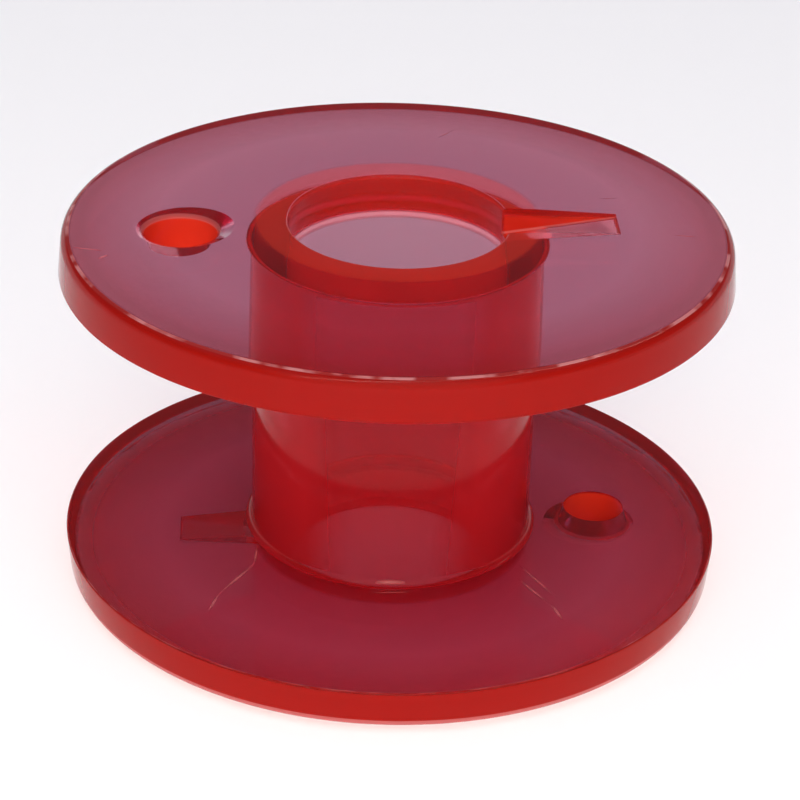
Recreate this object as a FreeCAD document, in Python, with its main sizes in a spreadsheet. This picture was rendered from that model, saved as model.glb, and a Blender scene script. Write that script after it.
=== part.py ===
import FreeCAD, Part
import os
import Sketcher

# A bobbin for a household sewing machine: one moulded spool with a bored hub
# and two flanges. Millimetres, +Z up along the bore. The origin is on the
# bore's axis, in the plane that the spool stands on.

SIZES = [
    ("overall_height", 11.6, "over both ends of the hub"),
    ("flange_diameter", 20.3, "over the rims, at their inner edges"),
    ("rim_thickness", 1.26, "flange at the rim, before its round"),
    ("face_rise", 0.2, "hub end above the rim, so that the rims run clear"),
    ("rim_taper", 0.12, "draft of the rim towards its outer edge"),
    ("rim_round", 0.32, "outer edge of the rim"),
    ("rim_inner_chamfer", 0.06, "inner edge of the rim, broken only"),
    ("bore_diameter", 6.6, "for the winder shaft and the case's post"),
    ("bore_lip_chamfer", 0.12, "mouths of the bore"),
    ("hub_wall", 1.05, "hub wall around the bore"),
    ("hub_root_round", 0.22, "hub into the flanges"),
    ("thread_hole_diameter", 2.25, "hole for the thread's start, under its countersink"),
    ("thread_hole_draft", 7, "degrees, by which the hole narrows inwards"),
    ("thread_hole_mouth", 2.9, "countersink of that hole, on the flange's face"),
    ("thread_hole_share", 0.371, "its place on the way from the hub to the rim"),
    ("notch_mouth_width", 1.85, "driving notch at its inner end, in the open bore"),
    ("notch_mouth_depth", 0.92, "there, below the hub's end"),
    ("notch_run_in", 0.6, "from the bore's wall in to that end"),
    ("notch_end_width", 1.42, "driving notch at its outer end"),
    ("notch_end_depth", 0.21, "there, below the hub's end, so the floor is a ramp"),
    ("notch_end_share", 0.388, "that end's place on the way from the hub to the rim"),
    ("notch_turn", 4.2, "degrees about the bore, off the thread hole's line"),
    ("notch_run_out", 0.4, "height of the cut above the hub's end"),
]

# The same sizes as expressions, for constraints that combine several cells.
BORE_RADIUS = "sizes.bore_diameter / 2"
HUB_RADIUS = "sizes.bore_diameter / 2 + sizes.hub_wall"
RIM_RADIUS = "sizes.flange_diameter / 2"
BARE_WIDTH = "(sizes.flange_diameter / 2 - sizes.bore_diameter / 2 - sizes.hub_wall)"
FLANGE_DEPTH = "sizes.rim_thickness + sizes.face_rise"

ORIGIN = (-1, 1)
X_AXIS = -1


def fill_sheet(doc):
    """Write the driving dimensions into a spreadsheet with one alias each."""
    sheet = doc.addObject("Spreadsheet::Sheet", "sizes")
    for row, (alias, value, meaning) in enumerate(SIZES, start=1):
        sheet.set("A%d" % row, alias)
        sheet.set("B%d" % row, str(value))
        sheet.set("C%d" % row, meaning)
        sheet.setAlias("B%d" % row, alias)
    doc.recompute()
    return sheet


def origin_plane(body, role):
    """Find one of the body's own origin planes."""
    for feature in body.Origin.OriginFeatures:
        if feature.Role == role:
            return feature
    raise RuntimeError("no origin plane " + role)


def new_sketch(body, name, role, offset=FreeCAD.Placement()):
    """Attach an empty sketch to an origin plane, with an offset from it."""
    sketch = body.newObject("Sketcher::SketchObject", name)
    sketch.AttachmentSupport = [(origin_plane(body, role), "")]
    sketch.MapMode = "FlatFace"
    sketch.AttachmentOffset = offset
    return sketch


def closed_outline(sketch, corners):
    """Draw a closed polygon. Line i runs from corner i to the next corner."""
    points = [FreeCAD.Vector(x, y, 0) for x, y in corners]
    count = len(points)
    for i in range(count):
        sketch.addGeometry(Part.LineSegment(points[i], points[(i + 1) % count]), False)
    for i in range(count):
        sketch.addConstraint(Sketcher.Constraint("Coincident", i, 2, (i + 1) % count, 1))


def bind(sketch, kind, start, end, start_value, name, expression):
    """Add a named distance between two points and bind it to the sheet."""
    constraint = Sketcher.Constraint(kind, start[0], start[1], end[0], end[1], start_value)
    index = sketch.addConstraint(constraint)
    sketch.renameConstraint(index, name)
    sketch.setExpression("Constraints." + name, expression)


def corner(index):
    return (index, 1)


def round_corner(sketch, line, radius, name, expression):
    """Round the corner at the end of a line. Its sizes stay on the sharp corner."""
    sketch.fillet(line, 2, radius, True, True)
    arcs = [i for i, shape in enumerate(sketch.Geometry) if isinstance(shape, Part.ArcOfCircle)]
    index = sketch.addConstraint(Sketcher.Constraint("Radius", arcs[-1], radius))
    sketch.renameConstraint(index, name)
    sketch.setExpression("Constraints." + name, expression)


def add_spool(body, size):
    """Turn the spool's half section about the bore's axis.

    The section lies in the YZ plane, so the seam of the turn is clear of the
    holes and notches, which lie along X.
    """
    bore = size["bore_diameter"] / 2
    hub = bore + size["hub_wall"]
    rim = size["flange_diameter"] / 2
    edge = rim - size["rim_taper"]
    top = size["overall_height"]
    rise = size["face_rise"]
    inner = rise + size["rim_thickness"]
    sketch = new_sketch(body, "spool_section", "YZ_Plane")
    closed_outline(sketch, [
        (bore, 0), (hub, 0), (edge, rise), (rim, inner), (hub, inner),
        (hub, top - inner), (rim, top - inner), (edge, top - rise), (hub, top), (bore, top),
    ])
    for line in (0, 3, 5, 8):
        sketch.addConstraint(Sketcher.Constraint("Horizontal", line))
    for line in (4, 9):
        sketch.addConstraint(Sketcher.Constraint("Vertical", line))
    # The hub's end lands and the two rims line up over each other.
    for low, high in ((1, 4), (1, 8), (2, 7), (3, 6)):
        sketch.addConstraint(Sketcher.Constraint("Vertical", low, 1, high, 1))
    sketch.addConstraint(Sketcher.Constraint("PointOnObject", 0, 1, X_AXIS))
    bind(sketch, "DistanceX", ORIGIN, corner(0), bore, "bore_radius", BORE_RADIUS)
    bind(sketch, "DistanceX", corner(0), corner(1), hub - bore, "hub_wall", "sizes.hub_wall")
    bind(sketch, "DistanceX", ORIGIN, corner(3), rim, "rim_radius", RIM_RADIUS)
    bind(sketch, "DistanceX", corner(2), corner(3), rim - edge, "rim_taper", "sizes.rim_taper")
    bind(sketch, "DistanceY", corner(1), corner(2), rise, "rise_low", "sizes.face_rise")
    bind(sketch, "DistanceY", corner(2), corner(3), inner - rise, "rim_low", "sizes.rim_thickness")
    bind(sketch, "DistanceY", corner(6), corner(7), inner - rise, "rim_high", "sizes.rim_thickness")
    bind(sketch, "DistanceY", corner(7), corner(8), rise, "rise_high", "sizes.face_rise")
    bind(sketch, "DistanceY", corner(0), corner(9), top, "height", "sizes.overall_height")
    round_corner(sketch, 1, size["rim_round"], "round_low", "sizes.rim_round")
    round_corner(sketch, 6, size["rim_round"], "round_high", "sizes.rim_round")
    sketch.Visibility = False
    spool = body.newObject("PartDesign::Revolution", "spool")
    spool.Profile = sketch
    spool.ReferenceAxis = (sketch, ["V_Axis"])
    spool.Angle = 360
    return spool


def rings(shape, radius, heights):
    """Names of the whole circular edges of one radius at the given heights."""
    names = []
    for i, edge in enumerate(shape.Edges, start=1):
        if not isinstance(edge.Curve, Part.Circle):
            continue
        centre = edge.Curve.Center
        if abs(edge.Curve.Radius - radius) > 1e-4:
            continue
        if any(abs(centre.z - height) < 1e-4 for height in heights):
            names.append("Edge%d" % i)
    if len(names) != len(heights):
        raise RuntimeError("expected %d rings of radius %.3f" % (len(heights), radius))
    return names


EDGE_SIZE = {"Fillet": "Radius", "Chamfer": "Size"}


def ease_rings(doc, body, kind, name, alias, radius, heights):
    """Round or chamfer the rings at one radius by the size in one cell."""
    doc.recompute()
    base = body.Tip
    eased = body.newObject("PartDesign::" + kind, name)
    eased.Base = (base, rings(base.Shape, radius, heights))
    eased.setExpression(EDGE_SIZE[kind], "sizes." + alias)
    doc.recompute()
    return eased


def notch_section(body, name, flange, size, place_expression, end):
    """One upright section of a driving notch, square to the notch's line.

    Both notches lie on one line through the bore's axis: the upper one opens on the
    +X side of the bore, the lower one on the -X side.
    """
    width = size["notch_%s_width" % end]
    depth = size["notch_%s_depth" % end]
    beyond = size["notch_run_out"]
    upper = flange == "upper"
    turn = -size["notch_turn"] if upper else 180 - size["notch_turn"]
    turn_expression = "-sizes.notch_turn" if upper else "180 - sizes.notch_turn"
    swing = FreeCAD.Rotation(FreeCAD.Vector(0, 1, 0), turn)
    sketch = new_sketch(body, name, "YZ_Plane", FreeCAD.Placement(FreeCAD.Vector(), swing))
    sketch.setExpression("AttachmentOffset.Rotation.Angle", turn_expression)
    sketch.setExpression("AttachmentOffset.Base.x", "(%s) * sin((%s) * 1 deg)" % (place_expression, turn_expression))
    sketch.setExpression("AttachmentOffset.Base.z", "(%s) * cos((%s) * 1 deg)" % (place_expression, turn_expression))
    if upper:
        sketch.setExpression("AttachmentOffset.Base.y", "sizes.overall_height")
    outward = 1 if upper else -1
    floor, clear = -outward * depth, outward * beyond
    closed_outline(sketch, [(-width / 2, floor), (width / 2, floor), (width / 2, clear), (-width / 2, clear)])
    for line in (1, 3):
        sketch.addConstraint(Sketcher.Constraint("Vertical", line))
    sketch.addConstraint(Sketcher.Constraint("Horizontal", 2))
    # Geometry -2 is the sketch's own upright axis.
    sketch.addConstraint(Sketcher.Constraint("Symmetric", 0, 1, 1, 1, -2))
    bind(sketch, "DistanceX", corner(0), corner(1), width, "width", "sizes.notch_%s_width" % end)
    if upper:
        bind(sketch, "DistanceY", corner(0), ORIGIN, depth, "depth", "sizes.notch_%s_depth" % end)
        bind(sketch, "DistanceY", ORIGIN, corner(2), beyond, "beyond", "sizes.notch_run_out")
    else:
        bind(sketch, "DistanceY", ORIGIN, corner(0), depth, "depth", "sizes.notch_%s_depth" % end)
        bind(sketch, "DistanceY", corner(2), ORIGIN, beyond, "beyond", "sizes.notch_run_out")
    sketch.Visibility = False
    return sketch


def add_notch(doc, body, flange, size):
    """Cut the driving notch: open to the bore, its floor a ramp that rises outwards."""
    mouth_section = notch_section(body, flange + "_notch_mouth", flange, size,
                                  BORE_RADIUS + " - sizes.notch_run_in", "mouth")
    end_section = notch_section(body, flange + "_notch_end", flange, size,
                                HUB_RADIUS + " + sizes.notch_end_share * " + BARE_WIDTH, "end")
    doc.recompute()
    before = body.Shape.Volume
    notch = body.newObject("PartDesign::SubtractiveLoft", flange + "_notch")
    notch.Profile = mouth_section
    notch.Sections = [(end_section, [""])]
    notch.Ruled = True
    doc.recompute()
    require_cut(before, body.Shape.Volume, notch.Name)


def flange_sketch(body, name, flange):
    """A sketch on a flange's outer side, its own +Z pointing out of the spool.

    The lower flange's side is the upper one turned over about Y, so one drawing serves both.
    """
    if flange == "upper":
        sketch = new_sketch(body, name, "XY_Plane")
        sketch.setExpression("AttachmentOffset.Base.z", "sizes.overall_height")
        return sketch
    over = FreeCAD.Rotation(FreeCAD.Vector(0, 1, 0), 180)
    return new_sketch(body, name, "XY_Plane", FreeCAD.Placement(FreeCAD.Vector(), over))


def add_thread_hole(doc, body, flange, size):
    """Make the countersunk hole for the thread's start, opposite the notch."""
    hub = size["bore_diameter"] / 2 + size["hub_wall"]
    place = hub + size["thread_hole_share"] * (size["flange_diameter"] / 2 - hub)
    radius = size["thread_hole_diameter"] / 2
    sketch = flange_sketch(body, flange + "_thread_hole_centre", flange)
    circle = Part.Circle(FreeCAD.Vector(-place, 0, 0), FreeCAD.Vector(0, 0, 1), radius)
    sketch.addGeometry(circle, False)
    sketch.addConstraint(Sketcher.Constraint("PointOnObject", 0, 3, X_AXIS))
    bind(sketch, "DistanceX", (0, 3), ORIGIN, place, "place",
         HUB_RADIUS + " + sizes.thread_hole_share * " + BARE_WIDTH)
    index = sketch.addConstraint(Sketcher.Constraint("Radius", 0, radius))
    sketch.renameConstraint(index, "radius")
    sketch.setExpression("Constraints.radius", "sizes.thread_hole_diameter / 2")
    sketch.Visibility = False
    doc.recompute()
    before = body.Shape.Volume
    hole = body.newObject("PartDesign::Hole", flange + "_thread_hole")
    hole.Profile = sketch
    doc.recompute()
    hole.Threaded = False
    hole.HoleCutType = "Countersink"
    hole.DepthType = "Dimension"
    hole.DrillPoint = "Flat"
    hole.setExpression("Diameter", "sizes.thread_hole_diameter")
    # The sketch lies at the hub end's level and the face a little below it, so the cone is
    # drawn wider there by what it narrows on the way down. Half its angle is 70 degrees.
    hole.setExpression("HoleCutDiameter",
                       "sizes.thread_hole_mouth + 2 * sizes.face_rise * sizes.thread_hole_share * tan(70 deg)")
    hole.HoleCutCountersinkAngle = 140
    hole.Tapered = True
    hole.setExpression("TaperedAngle", "90 - sizes.thread_hole_draft")
    # A little past the inner face, into the open winding space.
    hole.setExpression("Depth", FLANGE_DEPTH + " + sizes.rim_thickness / 2")
    doc.recompute()
    require_cut(before, body.Shape.Volume, hole.Name)


def require_cut(before, after, name):
    if not after < before - 1e-3:
        raise RuntimeError(name + " removed nothing")


def require_sound(doc):
    """Stop if any feature failed or any shape is empty or invalid."""
    for item in doc.Objects:
        if "Invalid" in item.State or "Error" in item.State:
            raise RuntimeError("%s: %s" % (item.Name, item.State))
        if hasattr(item, "Shape") and item.isDerivedFrom("PartDesign::Feature"):
            if item.Shape.isNull() or not item.Shape.isValid():
                raise RuntimeError(item.Name + " has no valid shape")


def main():
    size = {alias: value for alias, value, meaning in SIZES}
    doc = FreeCAD.newDocument("bobbin")
    fill_sheet(doc)
    body = doc.addObject("PartDesign::Body", "bobbin")
    body.Label = "bobbin"
    add_spool(body, size)

    bore = size["bore_diameter"] / 2
    hub = bore + size["hub_wall"]
    rim = size["flange_diameter"] / 2
    top = size["overall_height"]
    inner = size["face_rise"] + size["rim_thickness"]
    inner_faces = (inner, top - inner)
    ease_rings(doc, body, "Fillet", "hub_roots", "hub_root_round", hub, inner_faces)
    ease_rings(doc, body, "Chamfer", "rim_inner_edges", "rim_inner_chamfer", rim, inner_faces)
    ease_rings(doc, body, "Chamfer", "bore_lips", "bore_lip_chamfer", bore, (0, top))
    for flange in ("upper", "lower"):
        add_notch(doc, body, flange, size)
        add_thread_hole(doc, body, flange, size)
    doc.recompute()
    require_sound(doc)

    solids = body.Shape.Solids
    if len(solids) != 1:
        raise RuntimeError("the spool is not one solid")
    box = body.Shape.optimalBoundingBox()
    print("volume %.2f mm3, solids %d, faces %d" % (body.Shape.Volume, len(solids), len(body.Shape.Faces)))
    print("box x %.3f %.3f y %.3f %.3f z %.3f %.3f"
          % (box.XMin, box.XMax, box.YMin, box.YMax, box.ZMin, box.ZMax))
    os.makedirs("parts", exist_ok=True)
    body.Shape.exportStep("parts/" + body.Label + ".step")


main()
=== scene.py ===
# %% [markdown]
# # A clear red bobbin for a sewing machine
#
# The bobbin is one moulding: a bored hub between two round flanges, in see-through red
# plastic. Nothing hides behind its surface, so every edge shows, the far ones through the
# near ones. That makes the shape itself the look: round edges, the hole and the notch have
# to be real geometry. The mould's faint lines are pale marks in the skin, and some of the pale
# lines are painted highlights.
#
# The imported solids are loaded first. They fix the size and the place of all that follows.

# %% Load the frame
import bpy
import math
from mathutils import Matrix, Vector


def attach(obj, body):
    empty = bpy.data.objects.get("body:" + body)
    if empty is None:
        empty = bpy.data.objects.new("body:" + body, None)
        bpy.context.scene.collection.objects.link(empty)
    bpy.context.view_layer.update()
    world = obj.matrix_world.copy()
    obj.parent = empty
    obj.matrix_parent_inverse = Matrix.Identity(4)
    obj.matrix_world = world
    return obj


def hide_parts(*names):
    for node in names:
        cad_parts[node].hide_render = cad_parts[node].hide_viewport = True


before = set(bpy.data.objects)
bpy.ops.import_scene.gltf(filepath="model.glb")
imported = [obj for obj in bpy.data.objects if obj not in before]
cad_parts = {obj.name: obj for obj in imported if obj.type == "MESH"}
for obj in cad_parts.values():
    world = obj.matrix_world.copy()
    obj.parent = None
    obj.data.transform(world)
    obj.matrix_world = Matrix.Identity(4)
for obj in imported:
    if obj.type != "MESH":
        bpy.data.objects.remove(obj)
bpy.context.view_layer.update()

# %% [markdown]
# ## Sizes
#
# The shape is modelled in millimetres and made small once, at the end. Blender's merge and
# bevel distances then stay in an easy range, and each number can be read off the real part.

# %% Sizes in millimetres
HEIGHT = 11.6            # over both ends of the hub
RISE = 0.2               # hub end above the rim
RIM = 10.144             # radius of the flanges at their inner edges
RIM_EDGE = 10.03         # radius at the outer edges, after the draft
THICK = 1.26             # flange at the rim
INNER_LOW = RISE + THICK
INNER_HIGH = HEIGHT - INNER_LOW
HUB = 4.35               # radius of the hub
BORE = 3.3               # radius of the bore
print("winding space", round(INNER_HIGH - INNER_LOW, 2), "mm wide")

# %% [markdown]
# ## Picking by place
#
# Each step of the modelling works on some faces or edges of one piece. They could be picked by
# their numbers, but these shift with every cut. So they are picked by where they lie, and the
# line then reads as a sentence: all faces between the flanges, all edges on this ring.

# %% Pick by place
NEAR = 0.01              # slack in millimetres


def start_fresh():
    """Leave edit mode and deselect everything, so that an operator acts on one piece only."""
    if bpy.context.object and bpy.context.object.mode != "OBJECT":
        bpy.ops.object.mode_set(mode="OBJECT")
    bpy.ops.object.select_all(action="DESELECT")


def select_where(piece, kind, test):
    """In edit mode, select only the vertices, edges or faces whose place passes the test."""
    modes = {"vertices": "VERT", "edges": "EDGE", "polygons": "FACE"}
    bpy.ops.mesh.select_mode(type=modes[kind])
    bpy.ops.mesh.select_all(action="DESELECT")
    bpy.ops.object.mode_set(mode="OBJECT")
    mesh = piece.data
    chosen = 0
    for item in getattr(mesh, kind):
        if kind == "vertices":
            points = [item.co]
        else:
            points = [mesh.vertices[i].co for i in item.vertices]
        item.select = bool(test(points))
        chosen += item.select
    bpy.ops.object.mode_set(mode="EDIT")
    return chosen


print("picked by place, within", NEAR, "mm")

# %% [markdown]
# ## The turned shape
#
# Hub and flanges are bodies of revolution. They could be spun from a half section, but it is
# easier to follow as on a lathe: a round blank of the full width is cut in between the
# flanges, its ends are drawn in to the hub and the bore, and the bore is opened through.

# %% Turn the blank
STEPS = 288              # facets around the axis
start_fresh()
bpy.ops.mesh.primitive_cylinder_add(vertices=STEPS, radius=RIM, depth=HEIGHT - 2 * RISE,
                                    location=(0, 0, HEIGHT / 2), end_fill_type="NGON")
bobbin = bpy.context.object
bobbin.name = "bobbin_moulding"
bpy.ops.object.transform_apply(location=True, rotation=True, scale=True)
bpy.ops.object.mode_set(mode="EDIT")
for height in (INNER_LOW, INNER_HIGH):
    bpy.ops.mesh.select_all(action="SELECT")
    bpy.ops.mesh.bisect(plane_co=(0, 0, height), plane_no=(0, 0, 1))

# The band between the flanges is pushed in to the hub.
band = select_where(bobbin, "polygons",
                    lambda ps: all(INNER_LOW - NEAR < p.z < INNER_HIGH + NEAR for p in ps))
bpy.ops.mesh.extrude_region_move()
bpy.ops.transform.resize(value=(HUB / RIM, HUB / RIM, 1), center_override=(0, 0, HEIGHT / 2))
print("hub band", band, "faces")

# The rims get their draft.
select_where(bobbin, "vertices",
             lambda ps: ps[0].z < RISE + NEAR or ps[0].z > HEIGHT - RISE - NEAR)
bpy.ops.transform.resize(value=(RIM_EDGE / RIM, RIM_EDGE / RIM, 1),
                         center_override=(0, 0, HEIGHT / 2))

# Each end rises to the hub's flat land, which then narrows to the bore's mouth.
for outside, shift in ((RISE, -RISE), (HEIGHT - RISE, RISE)):
    select_where(bobbin, "polygons",
                 lambda ps: len(ps) > 4 and abs(ps[0].z - outside) < NEAR)
    bpy.ops.mesh.extrude_region_move()
    bpy.ops.transform.resize(value=(HUB / RIM_EDGE, HUB / RIM_EDGE, 1),
                             center_override=(0, 0, outside))
    bpy.ops.transform.translate(value=(0, 0, shift))
    bpy.ops.mesh.extrude_region_move()
    bpy.ops.transform.resize(value=(BORE / HUB, BORE / HUB, 1), center_override=(0, 0, outside))
select_where(bobbin, "polygons", lambda ps: len(ps) > 4)
bpy.ops.mesh.bridge_edge_loops()
bpy.ops.object.mode_set(mode="OBJECT")
print("turned blank", len(bobbin.data.polygons), "faces")

# %% [markdown]
# ## Round edges
#
# A mould leaves no knife edges. The outer edges of the rims are clearly round. The hub flows
# into the flanges, the mouths of the bore are eased, and the inner edges of the rims are only
# just broken. A bevel modifier would round all of them alike, so each set of rings is picked
# and bevelled with its own width.

# %% Round the rings
MERGE = 0.0005           # points closer than this, in millimetres, become one
ROUNDS = [   # name, radius, heights, width of the round, facets across it
    ("rim outer edges", RIM_EDGE, (RISE, HEIGHT - RISE), 0.28, 9),
    ("rim inner edges", RIM, (INNER_LOW, INNER_HIGH), 0.06, 8),
    ("hub roots", HUB, (INNER_LOW, INNER_HIGH), 0.22, 9),
    ("bore mouths", BORE, (0, HEIGHT), 0.12, 8),
]


def on_ring(points, radius, height, slack=0.02):
    """True if all points lie on one circle about the bore's axis."""
    return all(abs(math.hypot(p.x, p.y) - radius) < slack and abs(p.z - height) < slack
               for p in points)


bpy.ops.object.mode_set(mode="EDIT")
for name, ring, heights, width, segments in ROUNDS:
    found = select_where(bobbin, "edges", lambda ps: any(on_ring(ps, ring, z) for z in heights))
    bpy.ops.mesh.bevel(offset=width, offset_type="OFFSET", segments=segments, profile=0.5,
                       affect="EDGES", clamp_overlap=False)
    print(name, found, "edges")
bpy.ops.mesh.select_all(action="SELECT")
bpy.ops.mesh.remove_doubles(threshold=MERGE)
bpy.ops.mesh.normals_make_consistent(inside=False)
bpy.ops.object.mode_set(mode="OBJECT")

# %% [markdown]
# ## Thread hole and driving notch
#
# Each flange has a small countersunk hole, where the thread's end is caught, and opposite it
# a slot that opens into the bore, where the machine's driver takes hold. The slot's floor is
# a ramp: deep at the bore, it rises nearly to the face. Both are cut with tools shaped like the
# steel of the mould, made once for the upper flange and copied, turned over, for the lower.

# %% A tool for both flanges


def on_both_flanges(tool):
    """Join the tool with a copy that is turned over for the lower flange."""
    start_fresh()
    tool.select_set(True)
    bpy.context.view_layer.objects.active = tool
    bpy.ops.object.duplicate()
    turned = bpy.context.object
    turned.rotation_euler = (0, math.pi, 0)
    turned.location = (0, 0, HEIGHT)
    bpy.ops.object.transform_apply(location=True, rotation=True, scale=True)
    tool.select_set(True)
    bpy.context.view_layer.objects.active = tool
    bpy.ops.object.join()


# %% [markdown]
# ### The slot's steel
#
# The slot could be drawn as an outline and pushed in, but its floor is not level. A block is
# easier: as long and as wide as the slot, it is narrowed at its outer end. The floor's outer
# edge is lifted, so the floor becomes a ramp, and its edges are rounded. Then the block is
# doubled, and both are turned a little about the bore, as on the part.

# %% Slot tool
NOTCH_INNER, NOTCH_OUTER = 2.7, 6.6      # both ends, from the bore's axis
NOTCH_WIDTH, NOTCH_END_WIDTH = 1.85, 1.42
NOTCH_DEPTH, NOTCH_END_DEPTH = 0.92, 0.21
NOTCH_TURN = math.radians(-4.2)
NOTCH_ROUND = 0.09                       # where the ramp meets the slot's sides and end
ABOVE = 0.4                              # how far the block stands out of the plastic
start_fresh()
bpy.ops.mesh.primitive_cube_add(
    size=1, scale=(NOTCH_OUTER - NOTCH_INNER, NOTCH_WIDTH, NOTCH_DEPTH + ABOVE),
    location=((NOTCH_INNER + NOTCH_OUTER) / 2, 0, HEIGHT + (ABOVE - NOTCH_DEPTH) / 2))
notch_tool = bpy.context.object
bpy.ops.object.transform_apply(location=True, rotation=True, scale=True)
bpy.ops.object.mode_set(mode="EDIT")
outer_end = NOTCH_OUTER - NEAR
select_where(notch_tool, "vertices", lambda ps: ps[0].x > outer_end)
bpy.ops.transform.resize(value=(1, NOTCH_END_WIDTH / NOTCH_WIDTH, 1),
                         center_override=(NOTCH_OUTER, 0, HEIGHT))
select_where(notch_tool, "vertices", lambda ps: ps[0].x > outer_end and ps[0].z < HEIGHT)
bpy.ops.transform.translate(value=(0, 0, NOTCH_DEPTH - NOTCH_END_DEPTH))
select_where(notch_tool, "edges",
             lambda ps: all(p.z < HEIGHT for p in ps) and any(p.x > outer_end for p in ps))
bpy.ops.mesh.bevel(offset=NOTCH_ROUND, segments=8, profile=0.5, affect="EDGES",
                   clamp_overlap=True)
bpy.ops.object.mode_set(mode="OBJECT")
on_both_flanges(notch_tool)
notch_tool.rotation_euler = (0, 0, NOTCH_TURN)
bpy.ops.object.transform_apply(location=True, rotation=True, scale=True)
print("slot tool", len(notch_tool.data.polygons), "faces")

# %% [markdown]
# ### The hole's steel
#
# A pin that narrows downwards, so that it draws out of the mould, carries a wide flare on top
# for the countersink. Two cones would do as well, but one that is drawn on leaves a clean ring
# between pin and flare, which is then rounded. The face slopes, so the flare's depth is worked
# out from the width that the countersink has on the face.

# %% Hole tool
HOLE_PLACE = 6.502                       # from the bore's axis
HOLE = 1.125                             # radius at the level of the hub's end
HOLE_DRAFT = math.tan(math.radians(7))
HOLE_MOUTH = 1.45                        # radius of the countersink on the face
HOLE_FLARE = math.tan(math.radians(70))
HOLE_ROUND = 0.12                        # where the countersink runs into the hole
FACE_FALL = 0.074                        # of the face below the hub's end, at the hole
BEYOND, FLARED = 0.6, 0.3                # how far pin and flare stand out of the plastic
# How deep the countersink's foot lies below the hub's end.
meet = (HOLE_MOUTH + FACE_FALL * HOLE_FLARE - HOLE) / (HOLE_FLARE - HOLE_DRAFT)
low, high = INNER_HIGH - BEYOND, HEIGHT - meet
foot_radius = HOLE - meet * HOLE_DRAFT
start_fresh()
bpy.ops.mesh.primitive_cone_add(
    vertices=128, radius1=HOLE - (HEIGHT - low) * HOLE_DRAFT, radius2=foot_radius,
    depth=high - low, location=(-HOLE_PLACE, 0, (low + high) / 2), end_fill_type="NGON")
hole_tool = bpy.context.object
bpy.ops.object.transform_apply(location=True, rotation=True, scale=True)
bpy.ops.object.mode_set(mode="EDIT")
select_where(hole_tool, "polygons", lambda ps: all(p.z > high - NEAR for p in ps))
bpy.ops.mesh.extrude_region_move(TRANSFORM_OT_translate={"value": (0, 0, meet + FLARED)})
wider = 1 + (meet + FLARED) * HOLE_FLARE / foot_radius
bpy.ops.transform.resize(value=(wider, wider, 1), center_override=(-HOLE_PLACE, 0, HEIGHT))
select_where(hole_tool, "edges", lambda ps: all(abs(p.z - high) < 0.001 for p in ps))
bpy.ops.mesh.bevel(offset=HOLE_ROUND, segments=5, profile=0.5, affect="EDGES",
                   clamp_overlap=True)
bpy.ops.object.mode_set(mode="OBJECT")
on_both_flanges(hole_tool)
print("hole tool", len(hole_tool.data.polygons), "faces, countersink", round(meet, 3), "mm deep")

# %% [markdown]
# ### The cut
#
# In the mould both holes and both slots are left open by steel. Four cuts in a row would do the
# same, but all tools joined need only one, and the exact solver keeps the thin edges clean.

# %% All the mould's steel in one
start_fresh()
hole_tool.select_set(True)
notch_tool.select_set(True)
bpy.context.view_layer.objects.active = notch_tool
bpy.ops.object.join()
tools = bpy.context.object
bpy.ops.object.mode_set(mode="EDIT")
bpy.ops.mesh.select_all(action="SELECT")
bpy.ops.mesh.normals_make_consistent(inside=False)
bpy.ops.object.mode_set(mode="OBJECT")
print("tools", len(tools.data.polygons), "faces")

# %% Cut the holes and notches
start_fresh()
bpy.context.view_layer.objects.active = bobbin
bobbin.select_set(True)
cut = bobbin.modifiers.new("mould_steel", "BOOLEAN")
cut.operation = "DIFFERENCE"
cut.solver = "EXACT"
cut.object = tools
before = len(bobbin.data.polygons)
bpy.ops.object.modifier_apply(modifier=cut.name)
bpy.data.objects.remove(tools, do_unlink=True)
print("cut", before, "->", len(bobbin.data.polygons), "faces")

# %% [markdown]
# ## Smooth shading
#
# The broad faces are flat or nearly so, and only the rounds between them turn, by less than
# 14 degrees a step. So edges of 14 degrees and more stay crisp, which keeps the countersink's
# shallow rim in view. Weighted normals give the broad faces the say at shared corners, so they
# refract without ripples.

# %% Make it small and shade it
CRISP = math.radians(14)
MILLIMETRE = 0.001
bpy.ops.object.mode_set(mode="EDIT")
bpy.ops.mesh.select_all(action="SELECT")
bpy.ops.mesh.remove_doubles(threshold=MERGE)
bpy.ops.mesh.normals_make_consistent(inside=False)
bpy.ops.object.mode_set(mode="OBJECT")
bobbin.scale = (MILLIMETRE, MILLIMETRE, MILLIMETRE)
bpy.ops.object.transform_apply(location=True, rotation=True, scale=True)
bpy.ops.object.shade_smooth_by_angle(angle=CRISP)
weights = bobbin.modifiers.new("even_faces", "WEIGHTED_NORMAL")
weights.mode = "FACE_AREA"
weights.weight = 50
weights.keep_sharp = True
bpy.ops.object.modifier_apply(modifier=weights.name)
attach(bobbin, "root")
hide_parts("bobbin")
print("bobbin", len(bobbin.data.polygons), "faces")

# %% [markdown]
# ## Clear red polystyrene
#
# The plastic is clear polystyrene, moulded glossy and dyed right through. Its colour lies in
# its depth: a thin flange is rosy, the long way through a rim is deep red. So most of the
# skin is plain clear gloss, and a volume inside takes out green and blue by the millimetre.
#
# Clear alone would leave the edges dark. On the real part they glow, because the dye
# scatters a little light on its way. A scattering volume could show that too, but it renders
# slowly and with much grain. So a share of the skin is a cloudy red instead.

# %% Material helpers


def linear(hex_colour):
    """Turn an sRGB hex colour into the linear numbers that shaders use."""
    parts = [int(hex_colour[i:i + 2], 16) / 255 for i in (1, 3, 5)]
    return [c / 12.92 if c <= 0.04045 else ((c + 0.055) / 1.055) ** 2.4 for c in parts] + [1.0]


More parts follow.
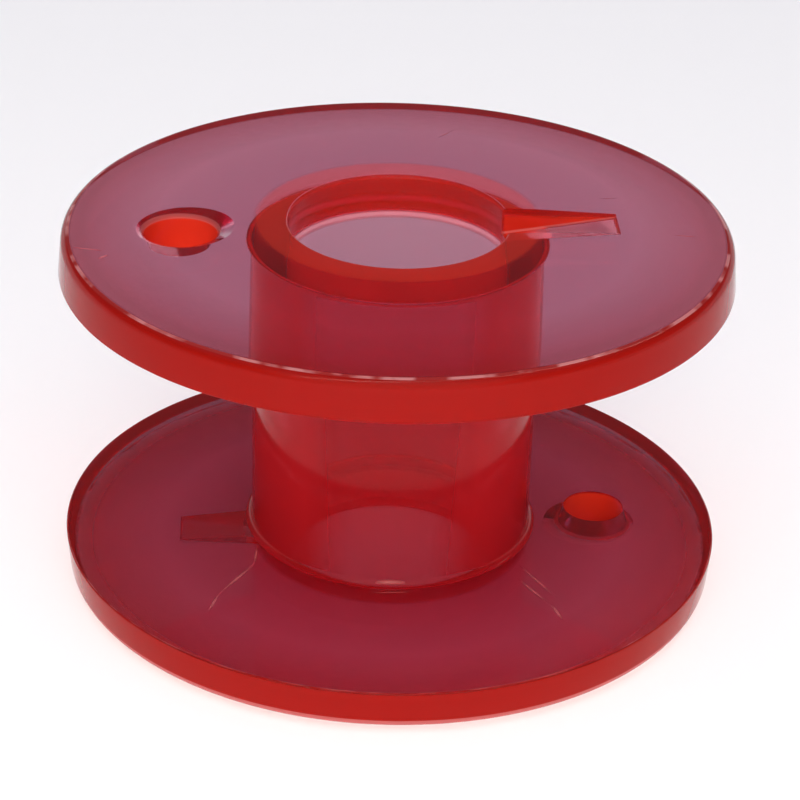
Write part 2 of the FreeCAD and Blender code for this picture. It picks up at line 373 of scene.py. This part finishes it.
def add_node(tree, kind, settings=(), inputs=(), links=()):
    """Add a node, set its own settings and input values, and link (input, node, output)."""
    node = tree.nodes.new(kind)
    for key, value in dict(settings).items():
        setattr(node, key, value)
    for key, value in dict(inputs).items():
        node.inputs[key].default_value = value
    for key, source, output in links:
        tree.links.new(source.outputs[output], node.inputs[key])
    return node


MATH, VECTOR = "ShaderNodeMath", "ShaderNodeVectorMath"
RANGE, MIX = "ShaderNodeMapRange", "ShaderNodeMix"
TIMES = {"operation": "MULTIPLY"}
TIMES_PLUS = {"operation": "MULTIPLY_ADD"}
TAKE = {"operation": "SUBTRACT"}
TAKE_TO_ZERO = {"operation": "SUBTRACT", "use_clamp": True}
LARGER = {"operation": "MAXIMUM"}
PLAIN = {"operation": "ABSOLUTE"}
LENGTH = {"operation": "LENGTH"}
WITHIN = {"operation": "COMPARE"}        # 1 where input 0 is within input 2 of input 1
NUMBERS, COLOURS = {"data_type": "FLOAT"}, {"data_type": "RGBA"}
# A Mix node has one set of sockets for each kind of value. These are its colours.
FIRST, SECOND, MIXED = 6, 7, 2

# %% [markdown]
# ## Where on the bobbin a point lies
#
# The skin differs from place to place, so the material first works out where it is: how far
# from the bore's axis and from the middle of the height, both in millimetres, and whether the
# surface is a level face or a wall. The rounds of the rims and of the hub count as walls. Painted
# maps could say the same, but measures stay sharp at any size. A Map Range node turns a measure
# into a share: 0 at its From Min, 1 at its From Max, and a slope between.

# %% Place and lean
plastic = bpy.data.materials.new("clear_red_polystyrene")
plastic.use_nodes = True
tree = plastic.node_tree
tree.nodes.clear()
place = add_node(tree, "ShaderNodeTexCoord")
in_mm = add_node(tree, "ShaderNodeMapping", inputs={"Scale": (1000, 1000, 1000)},
                 links=[("Vector", place, "Object")])
axes = add_node(tree, "ShaderNodeSeparateXYZ", links=[("Vector", in_mm, "Vector")])
flat = add_node(tree, VECTOR, TIMES, {1: (1, 1, 0)}, [(0, in_mm, "Vector")])
radius = add_node(tree, VECTOR, LENGTH, links=[(0, flat, "Vector")])
from_middle = add_node(tree, MATH, TAKE, {1: HEIGHT / 2}, [(0, axes, "Z")])
level = add_node(tree, MATH, PLAIN, links=[(0, from_middle, "Value")])
surface = add_node(tree, "ShaderNodeNewGeometry")
lean = add_node(tree, "ShaderNodeSeparateXYZ", links=[("Vector", surface, "True Normal")])
upright = add_node(tree, MATH, PLAIN, links=[(0, lean, "Z")])   # 1 on a level face, 0 on a wall
print("place and lean", len(tree.nodes), "nodes")

# %% Faces and walls
on_rim = add_node(tree, RANGE, inputs={"From Min": 9.2, "From Max": 9.4},
                  links=[("Value", radius, "Value")])
in_hub = add_node(tree, RANGE, inputs={"From Min": 4.7, "From Max": 4.5},
                  links=[("Value", radius, "Value")])
steep = add_node(tree, RANGE, inputs={"From Min": 0.9, "From Max": 0.3},
                 links=[("Value", upright, "Value")])
turning = add_node(tree, RANGE, inputs={"From Min": 0.999, "From Max": 0.97},
                   links=[("Value", upright, "Value")])
by_rounds = add_node(tree, MATH, LARGER, links=[(0, on_rim, "Result"), (1, in_hub, "Result")])
rounds = add_node(tree, MATH, TIMES, links=[(0, by_rounds, "Value"), (1, turning, "Result")])
wall = add_node(tree, MATH, LARGER, links=[(0, steep, "Result"), (1, rounds, "Value")])
print("with faces and walls", len(tree.nodes), "nodes")

# %% [markdown]
# ## How much is cloudy
#
# A clear sheet carries light along to its edges. There it comes out, so walls glow red to an
# eye outside: the rims most, then the walls of hole and slot, then the hub, which is clearer
# in front than at its sides. Tracing that light would take very many bounces. Here each wall
# simply gets its own share of cloudy red, chosen by where it lies.

# %% Cloudy share of the walls, seen from outside
RIM_CLOUD = 0.96
HUB_FRONT_CLOUD, HUB_SIDE_CLOUD = 0.54, 0.93
CORE_CLOUD, CORE_EDGE_CLOUD = 0.8, 0.3   # walls of hole and slot, deep down and at the face
MOUTH_CLOUD, BORE_CLOUD = 0.45, 0.13     # the bore's wall, in the flanges and between them
in_flange = add_node(tree, RANGE, inputs={"From Min": 4.36, "From Max": 4.44},
                     links=[("Value", level, "Value")])
slant = add_node(tree, "ShaderNodeLayerWeight", inputs={"Blend": 0.5})
hub_sides = add_node(tree, RANGE, links=[("Value", slant, "Facing")],
                     inputs={"From Min": 0.18, "From Max": 0.32,
                             "To Min": HUB_FRONT_CLOUD, "To Max": HUB_SIDE_CLOUD})
on_hub = add_node(tree, RANGE,
                  inputs={"From Min": 3.5, "From Max": 4.0, "To Min": BORE_CLOUD},
                  links=[("Value", radius, "Value"), ("To Max", hub_sides, "Result")])
past_bore = add_node(tree, RANGE, inputs={"From Min": 3.35, "From Max": 3.4},
                     links=[("Value", radius, "Value")])
shallow = add_node(tree, RANGE, links=[("Value", level, "Value")],
                   inputs={"From Min": 5.5, "From Max": 5.65,
                           "To Min": CORE_CLOUD, "To Max": CORE_EDGE_CLOUD})
at_bore = add_node(tree, MIX, NUMBERS, {"A": MOUTH_CLOUD},
                   [("Factor", past_bore, "Result"), ("B", shallow, "Result")])
on_flange = add_node(tree, MIX, NUMBERS, {"B": RIM_CLOUD},
                     [("Factor", on_rim, "Result"), ("A", at_bore, "Result")])
outside = add_node(tree, MIX, NUMBERS, links=[("Factor", in_flange, "Result"),
                                              ("A", on_hub, "Result"), ("B", on_flange, "Result")])
print("with walls from outside", len(tree.nodes), "nodes")

# %% [markdown]
# ### Walls seen through the plastic
#
# Most walls are also seen from inside, through a flange. The hub's wall is clear to a straight
# look, but at a slant light is trapped in it and runs up and down, so the hub's end shows as a
# red ring. A Layer Weight node tells the slant, and Backfacing tells the two sides apart.

# %% The same from inside
TRAPPED_LEAST, TRAPPED_MOST = 0.12, 0.72
INNER_CLOUD, INNER_CORE_CLOUD = 0.45, 0.7
CORES_MIDDLE, CORES_REACH = 6.65, 2.05   # the ring with hole and slot, in mm from the axis
trapped = add_node(tree, RANGE, links=[("Value", slant, "Facing")],
                   inputs={"From Min": 0.22, "From Max": 0.4,
                           "To Min": TRAPPED_LEAST, "To Max": TRAPPED_MOST})
by_cores = add_node(tree, MATH, WITHIN, {1: CORES_MIDDLE, 2: CORES_REACH},
                    [(0, radius, "Value")])
cores = add_node(tree, RANGE, inputs={"To Min": INNER_CLOUD, "To Max": INNER_CORE_CLOUD},
                 links=[("Value", by_cores, "Value")])
inside = add_node(tree, MIX, NUMBERS, links=[("Factor", in_hub, "Result"),
                                             ("A", cores, "Result"), ("B", trapped, "Result")])
walls = add_node(tree, MIX, NUMBERS, links=[("Factor", surface, "Backfacing"),
                                            ("A", outside, "Result"), ("B", inside, "Result")])
print("with walls from inside", len(tree.nodes), "nodes")

# %% [markdown]
# ### Faces
#
# The flat faces are polished and nearly clear from both sides. The land round the bore and the
# floors of slot and countersink glow more, because light from the walls around them passes
# there. With these shares the mix of faces and walls is complete.

# %% Share of the faces, and of all
LAND_CLOUD = 0.42                        # the flat ring round the bore's mouth
LOW_CLOUD = 0.42                         # more on slot floor, countersink and towards the rim
on_faces = add_node(tree, RANGE, links=[("Value", level, "Value")],
                    inputs={"From Min": 4.4, "From Max": 5.4, "To Min": 0.14, "To Max": 0.07})
on_land = add_node(tree, RANGE, inputs={"From Min": 4.4, "From Max": 4.2},
                   links=[("Value", radius, "Value")])
faces = add_node(tree, MIX, NUMBERS, {"B": LAND_CLOUD},
                 [("Factor", on_land, "Result"), ("A", on_faces, "Result")])
below_face = add_node(tree, RANGE, inputs={"From Min": 5.7, "From Max": 5.62},
                      links=[("Value", level, "Value")])
in_cores = add_node(tree, MATH, TIMES,
                    links=[(0, in_flange, "Result"), (1, below_face, "Result")])
faces = add_node(tree, MATH, TIMES_PLUS, {1: LOW_CLOUD},
                 [(0, in_cores, "Value"), (2, faces, "Result")])
cloudy = add_node(tree, MIX, NUMBERS, links=[("Factor", wall, "Value"), ("A", faces, "Value"),
                                             ("B", walls, "Result")])
print("with faces", len(tree.nodes), "nodes")

# %% [markdown]
# ## Which red
#
# The cloudy red is deep on the rims and a little cooler on the hub. In the hole and the slot,
# where light comes from all sides, that light is painted in as a bright orange red, and so it is
# on the land round the bore. Seen from inside, the skin is painted bright as well, as painted
# light, apart from the walls of hole and slot, which are deep red from there. One red for all
# would be simpler, but would leave the hole and the slot as dull as the rims.

# %% Deep and bright red
past_hub = add_node(tree, RANGE, inputs={"From Min": 4.8, "From Max": 5.6, "To Min": 0.75},
                    links=[("Value", radius, "Value")])
cored = add_node(tree, MATH, TIMES, links=[(0, in_flange, "Result"), (1, past_hub, "Result")])
cored = add_node(tree, MATH, TAKE_TO_ZERO, links=[(0, cored, "Value"), (1, on_rim, "Result")])
# Painted light: 1 where the bright red stands for extra light, 0 where the deep red stays
painted_light_outside = add_node(tree, MIX, NUMBERS, links=[("Factor", wall, "Value"),
                                                  ("A", on_land, "Result"), ("B", cored, "Value")])
core_wall = add_node(tree, MATH, TIMES, links=[(0, by_cores, "Value"), (1, wall, "Value")])
painted_light_inside = add_node(tree, MATH, TAKE, {0: 1.0}, [(1, core_wall, "Value")])
painted_light = add_node(tree, MIX, NUMBERS, links=[("Factor", surface, "Backfacing"),
                                          ("A", painted_light_outside, "Result"), ("B", painted_light_inside, "Value")])
deep = add_node(tree, MIX, COLOURS, {FIRST: linear("#B41A20"), SECOND: linear("#A8150D")},
                [("Factor", on_rim, "Result")])
# The bright orange red here is painted light; the two deep reds are the plain cloudy red
red = add_node(tree, MIX, COLOURS, {SECOND: linear("#FF4028")},
               [("Factor", painted_light, "Result"), (FIRST, deep, MIXED)])
print("with two reds", len(tree.nodes), "nodes")

# %% [markdown]
# ## Marks of the mould and of use, and painted highlights
#
# Where two streams of plastic met, the lower flange keeps fine creases, whose pale lines are
# painted highlights. The upper face has ends of the parting line and a few short scuffs, and
# the hub's foot has two short streaks, which are painted highlights. They are too fine to model.
# Each is a long thin ellipsoid in the part's own space, and the skin turns pale inside it, so a
# mark stays in place from all sides.

# %% Scuffs, and creases and streaks with painted highlights
MARK_DEPTH = 0.15
# The creases on the lower flange and the two streaks at the hub's foot are painted highlights; the
# rest are scuffs and ends of the parting line
MARKS_AND_HIGHLIGHTS = [   # from x, y to x, y, on the level z, and half the width, in mm
    (-4.32, -1.70, -4.47, -2.76, 1.46, 0.05), (-4.46, -2.74, -5.65, -4.37, 1.46, 0.07),
    (-5.66, -4.40, -6.03, -5.37, 1.46, 0.06), (3.58, -3.36, 4.44, -5.33, 1.46, 0.04),
    (3.45, -4.19, 4.13, -5.61, 1.46, 0.05), (4.22, -5.71, 4.42, -6.60, 1.46, 0.07),
    (-9.75, -0.95, -8.75, -1.36, 11.42, 0.035), (8.06, -1.25, 8.83, -1.38, 11.46, 0.03),
    (1.99, 6.42, 2.60, 7.10, 11.50, 0.05), (-8.95, -1.85, -8.70, -1.64, 11.44, 0.06),
    (6.29, 1.36, 6.94, 1.45, 11.52, 0.04), (-0.95, -4.27, 0.0, -4.36, 1.55, 0.06),
    (-1.34, -4.65, 0.38, -4.72, 1.46, 0.03),
]
nearest = None
for x0, y0, x1, y1, z, width in MARKS_AND_HIGHLIGHTS:
    half_length = math.hypot(x1 - x0, y1 - y0) / 2 + width
    spot = add_node(tree, "ShaderNodeMapping", {"vector_type": "TEXTURE"},
                    {"Location": ((x0 + x1) / 2, (y0 + y1) / 2, z),
                     "Rotation": (0, 0, math.atan2(y1 - y0, x1 - x0)),
                     "Scale": (half_length, width, MARK_DEPTH)},
                    [("Vector", in_mm, "Vector")])
    reach = add_node(tree, VECTOR, LENGTH, links=[(0, spot, "Vector")])
    if nearest is None:
        nearest = reach
    else:
        nearest = add_node(tree, MATH, {"operation": "MINIMUM"},
                           links=[(0, nearest, "Value"), (1, reach, "Value")])
marks = add_node(tree, RANGE, inputs={"From Min": 1.0, "From Max": 0.3},
                 links=[("Value", nearest, "Value")])
print("marks", len(MARKS_AND_HIGHLIGHTS))

# %% [markdown]
# ## Painted glints on the edges
#
# The rounds of the rims get painted glints, pale in dashes on the first facets of the round,
# and an even painted reflection of the pale table on the side of the lower rim that faces down.
# The small rounds at the foot of slot and countersink get painted glints too. Each is found by
# how far the surface leans, so nothing has to be painted by hand.

# %% Painted glints and reflection
DASHES_PER_MM = 1.1
# Painted glints: pale dashes on the first facets of the rims' rounds
dashed = add_node(tree, MATH, WITHIN, {1: 0.936, 2: 0.04}, [(0, upright, "Value")])
patches = add_node(tree, "ShaderNodeTexNoise", inputs={"Scale": DASHES_PER_MM, "Detail": 2.0},
                   links=[("Vector", in_mm, "Vector")])
dashes = add_node(tree, RANGE, links=[("Value", patches, "Fac")],
                  inputs={"From Min": 0.46, "From Max": 0.6, "To Min": 0.08, "To Max": 1.0})
painted_highlights = add_node(tree, MATH, TIMES, links=[(0, dashed, "Value"), (1, dashes, "Result")])
# Painted reflection of the pale table, on the lower rim's round that faces down
down = add_node(tree, MATH, WITHIN, {1: -0.55, 2: 0.4}, [(0, lean, "Z")])
by_table = add_node(tree, RANGE, inputs={"From Min": 5.0, "From Max": 5.1, "To Max": 0.45},
                    links=[("Value", level, "Value")])
foot = add_node(tree, MATH, TIMES, links=[(0, down, "Value"), (1, by_table, "Result")])
painted_highlights = add_node(tree, MATH, LARGER, links=[(0, painted_highlights, "Value"), (1, foot, "Value")])
painted_highlights = add_node(tree, MATH, TIMES, links=[(0, painted_highlights, "Value"), (1, on_rim, "Result")])
# Painted glints on the small rounds at the foot of slot and countersink
curved = add_node(tree, MATH, WITHIN, {1: 0.62, 2: 0.28}, [(0, upright, "Value")])
fillet = add_node(tree, MATH, TIMES, links=[(0, curved, "Value"), (1, in_cores, "Value")])
fillet = add_node(tree, MATH, TAKE_TO_ZERO, links=[(0, fillet, "Value"), (1, on_rim, "Result")])
painted_highlights = add_node(tree, MATH, TIMES_PLUS, {1: 0.4}, [(0, fillet, "Value"), (2, painted_highlights, "Value")])
marks = add_node(tree, MATH, LARGER, links=[(0, marks, "Result"), (1, painted_highlights, "Value")])
print("with rubbed places", len(tree.nodes), "nodes")

# %% Marks and painted highlights in the skin
MARK_AND_HIGHLIGHT_CLOUD = 0.5                         # added to the cloudy share
cloudy = add_node(tree, MATH, {"operation": "MULTIPLY_ADD", "use_clamp": True}, {1: MARK_AND_HIGHLIGHT_CLOUD},
                  [(0, marks, "Value"), (2, cloudy, "Result")])
# This pale pink is the scuffs' own pale and the painted glints, reflection and highlights
red = add_node(tree, MIX, COLOURS, {SECOND: linear("#E08A88")},
               [("Factor", marks, "Value"), (FIRST, red, MIXED)])
print("with marks in the skin", len(tree.nodes), "nodes")

# %% [markdown]
# ## Skin and dye
#
# Thick plastic sinks a little as it cools, so even polished faces are faintly wavy over a few
# millimetres, by some micrometres. The clear gloss bends what lies behind it, the cloudy red
# glows, and the share worked out above mixes them. The dye is a plain volume: red passes
# nearly free, green and blue fade with depth, which is what makes thick places deep red.

# %% Relief, clear skin, cloudy share and dye
WAVES_PER_MM = 0.35
WAVE_HEIGHT = 0.000004                   # metres
POLYSTYRENE = 1.49                       # how strongly it bends light
DYE = 750.0                              # per metre
waves = add_node(tree, "ShaderNodeTexNoise", inputs={"Scale": WAVES_PER_MM, "Detail": 1.0},
                 links=[("Vector", in_mm, "Vector")])
relief = add_node(tree, "ShaderNodeBump", inputs={"Strength": 1.0, "Distance": WAVE_HEIGHT},
                  links=[("Height", waves, "Fac")])
clear = add_node(tree, "ShaderNodeBsdfPrincipled",
                 inputs={"Base Color": linear("#FFF8F6"), "Roughness": 0.03, "IOR": POLYSTYRENE,
                         "Transmission Weight": 1.0, "Specular Tint": linear("#909090")},
                 links=[("Normal", relief, "Normal")])
cloud = add_node(tree, "ShaderNodeBsdfPrincipled",
                 inputs={"Roughness": 0.1, "IOR": POLYSTYRENE, "Specular IOR Level": 0.1},
                 links=[("Base Color", red, MIXED), ("Normal", relief, "Normal")])
skin = add_node(tree, "ShaderNodeMixShader",
                links=[("Fac", cloudy, "Value"), (1, clear, "BSDF"), (2, cloud, "BSDF")])
dye = add_node(tree, "ShaderNodeVolumeAbsorption",
               inputs={"Color": linear("#FB95C4"), "Density": DYE})
add_node(tree, "ShaderNodeOutputMaterial",
         links=[("Surface", skin, "Shader"), ("Volume", dye, "Volume")])
bobbin.data.materials.clear()
bobbin.data.materials.append(plastic)
print("material", plastic.name, len(tree.nodes), "nodes")

# %% [markdown]
# ## Camera
#
# The camera looks down at about 28 degrees, a little from the left of the bobbin's front, with
# a long lens. Its place comes from the outlines of both rims in the photograph.

# %% Camera
scene = bpy.context.scene
ELEVATION = math.radians(27.86)
AZIMUTH = math.radians(-7.3)
ROLL = math.radians(1.69)
DISTANCE = 0.0858
AIM = Vector((0, 0, 0.0057))
PICTURE = 800                            # width of the picture in pixels
FOCAL = 2782                             # lens, in the same pixels
OFF_RIGHT, OFF_UP = 6.5, -5.5            # shift of the lens, in pixels too
SENSOR = 36                              # mm
away = Vector((math.cos(ELEVATION) * math.sin(AZIMUTH),
               -math.cos(ELEVATION) * math.cos(AZIMUTH), math.sin(ELEVATION)))
right = Vector((math.cos(AZIMUTH), math.sin(AZIMUTH), 0))
up = away.cross(right)
right_rolled = right * math.cos(ROLL) + up * math.sin(ROLL)
up_rolled = up * math.cos(ROLL) - right * math.sin(ROLL)
eye = bpy.data.cameras.new("camera")
camera = bpy.data.objects.new("camera", eye)
scene.collection.objects.link(camera)
turn = Matrix((right_rolled, up_rolled, away)).transposed().to_4x4()
camera.matrix_world = Matrix.Translation(AIM + away * DISTANCE) @ turn
eye.sensor_width = SENSOR
eye.lens = FOCAL / PICTURE * SENSOR
eye.shift_x = OFF_RIGHT / PICTURE
eye.shift_y = OFF_UP / PICTURE
eye.clip_start = 0.002
eye.clip_end = 20
scene.camera = camera
print("camera at", [round(v * 1000, 1) for v in camera.location], "mm, lens", round(eye.lens, 1))

# %% [markdown]
# ## Table
#
# The bobbin stands on a plain pale table. A sheet that curves up behind it would hide the
# horizon, but from this height only the table is in view, so a flat plane will do. It is matt,
# so that it mirrors nothing, and lies a hair below the bobbin, so that the two share no plane.

# %% Table
TABLE_SIZE, HAIR = 4, 0.00002            # metres
start_fresh()
bpy.ops.mesh.primitive_plane_add(size=TABLE_SIZE, location=(0, 0, -HAIR))
table = bpy.context.object
table.name = "table"
paper = bpy.data.materials.new("pale_table")
paper.use_nodes = True
paint = paper.node_tree.nodes["Principled BSDF"]
paint.inputs["Base Color"].default_value = linear("#F6F6F6")
paint.inputs["Roughness"].default_value = 0.9
paint.inputs["Specular IOR Level"].default_value = 0.0
table.data.materials.append(paper)
print("table", TABLE_SIZE, "m wide")

# %% [markdown]
# ## Light from the room
#
# The room is pale near the table, grey above it and lighter overhead. A soft warm panel behind
# the camera lights the sides that face the eye. The grey part is what the glossy faces mirror,
# so it stays dim and lets the red of the plastic show.

# %% Room and panel
SKY_STOPS = [(0.0, "#FFFFFF"), (0.12, "#E7E7EE"), (0.24, "#62666F"), (0.65, "#62666F"),
             (0.8, "#AEB9D0")]
PANEL = (away + Vector((0, 0, 0.15))).normalized()
PANEL_LEVEL = 1.15
world = bpy.data.worlds.new("soft_panel")
scene.world = world
world.use_nodes = True
sky = world.node_tree
sky.nodes.clear()
way = add_node(sky, "ShaderNodeTexCoord")
height = add_node(sky, "ShaderNodeSeparateXYZ", links=[("Vector", way, "Generated")])
fade = add_node(sky, "ShaderNodeValToRGB", links=[("Fac", height, "Z")])
for i, (position, colour) in enumerate(SKY_STOPS):
    stop = fade.color_ramp.elements[i] if i < 2 else fade.color_ramp.elements.new(position)
    stop.position = position
    stop.color = linear(colour)
glow = add_node(sky, "ShaderNodeBackground", inputs={"Strength": 1.0},
                links=[("Color", fade, "Color")])
near = add_node(sky, VECTOR, {"operation": "DOT_PRODUCT"}, {1: PANEL}, [(0, way, "Generated")])
edge = add_node(sky, RANGE, inputs={"From Min": 0.75, "From Max": 0.9, "To Max": PANEL_LEVEL},
                links=[("Value", near, "Value")])
panel = add_node(sky, "ShaderNodeBackground", inputs={"Color": linear("#FFF4E8")},
                 links=[("Strength", edge, "Result")])
both = add_node(sky, "ShaderNodeAddShader",
                links=[(0, glow, "Background"), (1, panel, "Background")])
add_node(sky, "ShaderNodeOutputWorld", links=[("Surface", both, "Shader")])
print("room with", len(SKY_STOPS), "tones and one panel")

# %% [markdown]
# ## Lamp for the table
#
# One lamp at the camera makes the table white and lights nothing else. From there the bobbin's
# shadow lies just behind the bobbin. That shadow is what shows through the flanges, so they
# come out darker than the table around. Constant falloff keeps the table even.

# %% Lamp for the table
TABLE_LIGHT = 44.0                       # the same at any distance
BULB = 0.006                             # radius in metres
start_fresh()
bpy.ops.object.light_add(type="POINT", radius=BULB, location=AIM + away * DISTANCE)
table_lamp = bpy.context.object
table_lamp.name = "table_lamp"
table_lamp.data.energy = 1.0
table_lamp.data.color = linear("#FFF7F2")[:3]
table_lamp.data.use_nodes = True
wires = table_lamp.data.node_tree
even = add_node(wires, "ShaderNodeLightFalloff", inputs={"Strength": TABLE_LIGHT})
wires.links.new(even.outputs["Constant"], wires.nodes["Emission"].inputs["Strength"])
only_table = bpy.data.collections.new("only_table")
only_table.objects.link(table)
table_lamp.light_linking.receiver_collection = only_table
print(table_lamp.name, [round(v, 3) for v in table_lamp.location], "m")

# %% [markdown]
# ## Lamps for the bobbin
#
# A small lamp near the camera gives the cloudy red a little direct light. A long tube overhead
# is seen only by gloss: some of it passes through the clear skin and lifts the lower flange.

# %% Small lamp and tube
LAMPS = [   # name, way to it, distance and size in m, watts
    ("lamp", away + Vector((0, 0, 0.04)), 0.5, (0.1, 0.1), 0.4),
    ("tube", Vector((0.1, -0.12, 0.7)), 0.7, (1.6, 0.04), 2.7),
]
for name, toward, distance, size, energy in LAMPS:
    start_fresh()
    bpy.ops.object.light_add(type="AREA", location=AIM + toward.normalized() * distance)
    lamp = bpy.context.object
    lamp.name = name
    lamp.data.shape = "RECTANGLE"
    lamp.data.size, lamp.data.size_y = size
    lamp.data.energy = energy
    lamp.data.color = linear("#FFF2E2")[:3]
    lamp.rotation_euler = toward.to_track_quat("Z", "Y").to_euler()
    lamp.visible_transmission = False
    lamp.visible_diffuse = name == "lamp"
    lamp.visible_glossy = name == "tube"
    print(name, [round(v, 3) for v in lamp.location], "m")

# %% [markdown]
# ## View settings
#
# The view settings stay plain.

# %% Finish
scene.view_settings.view_transform = "Standard"
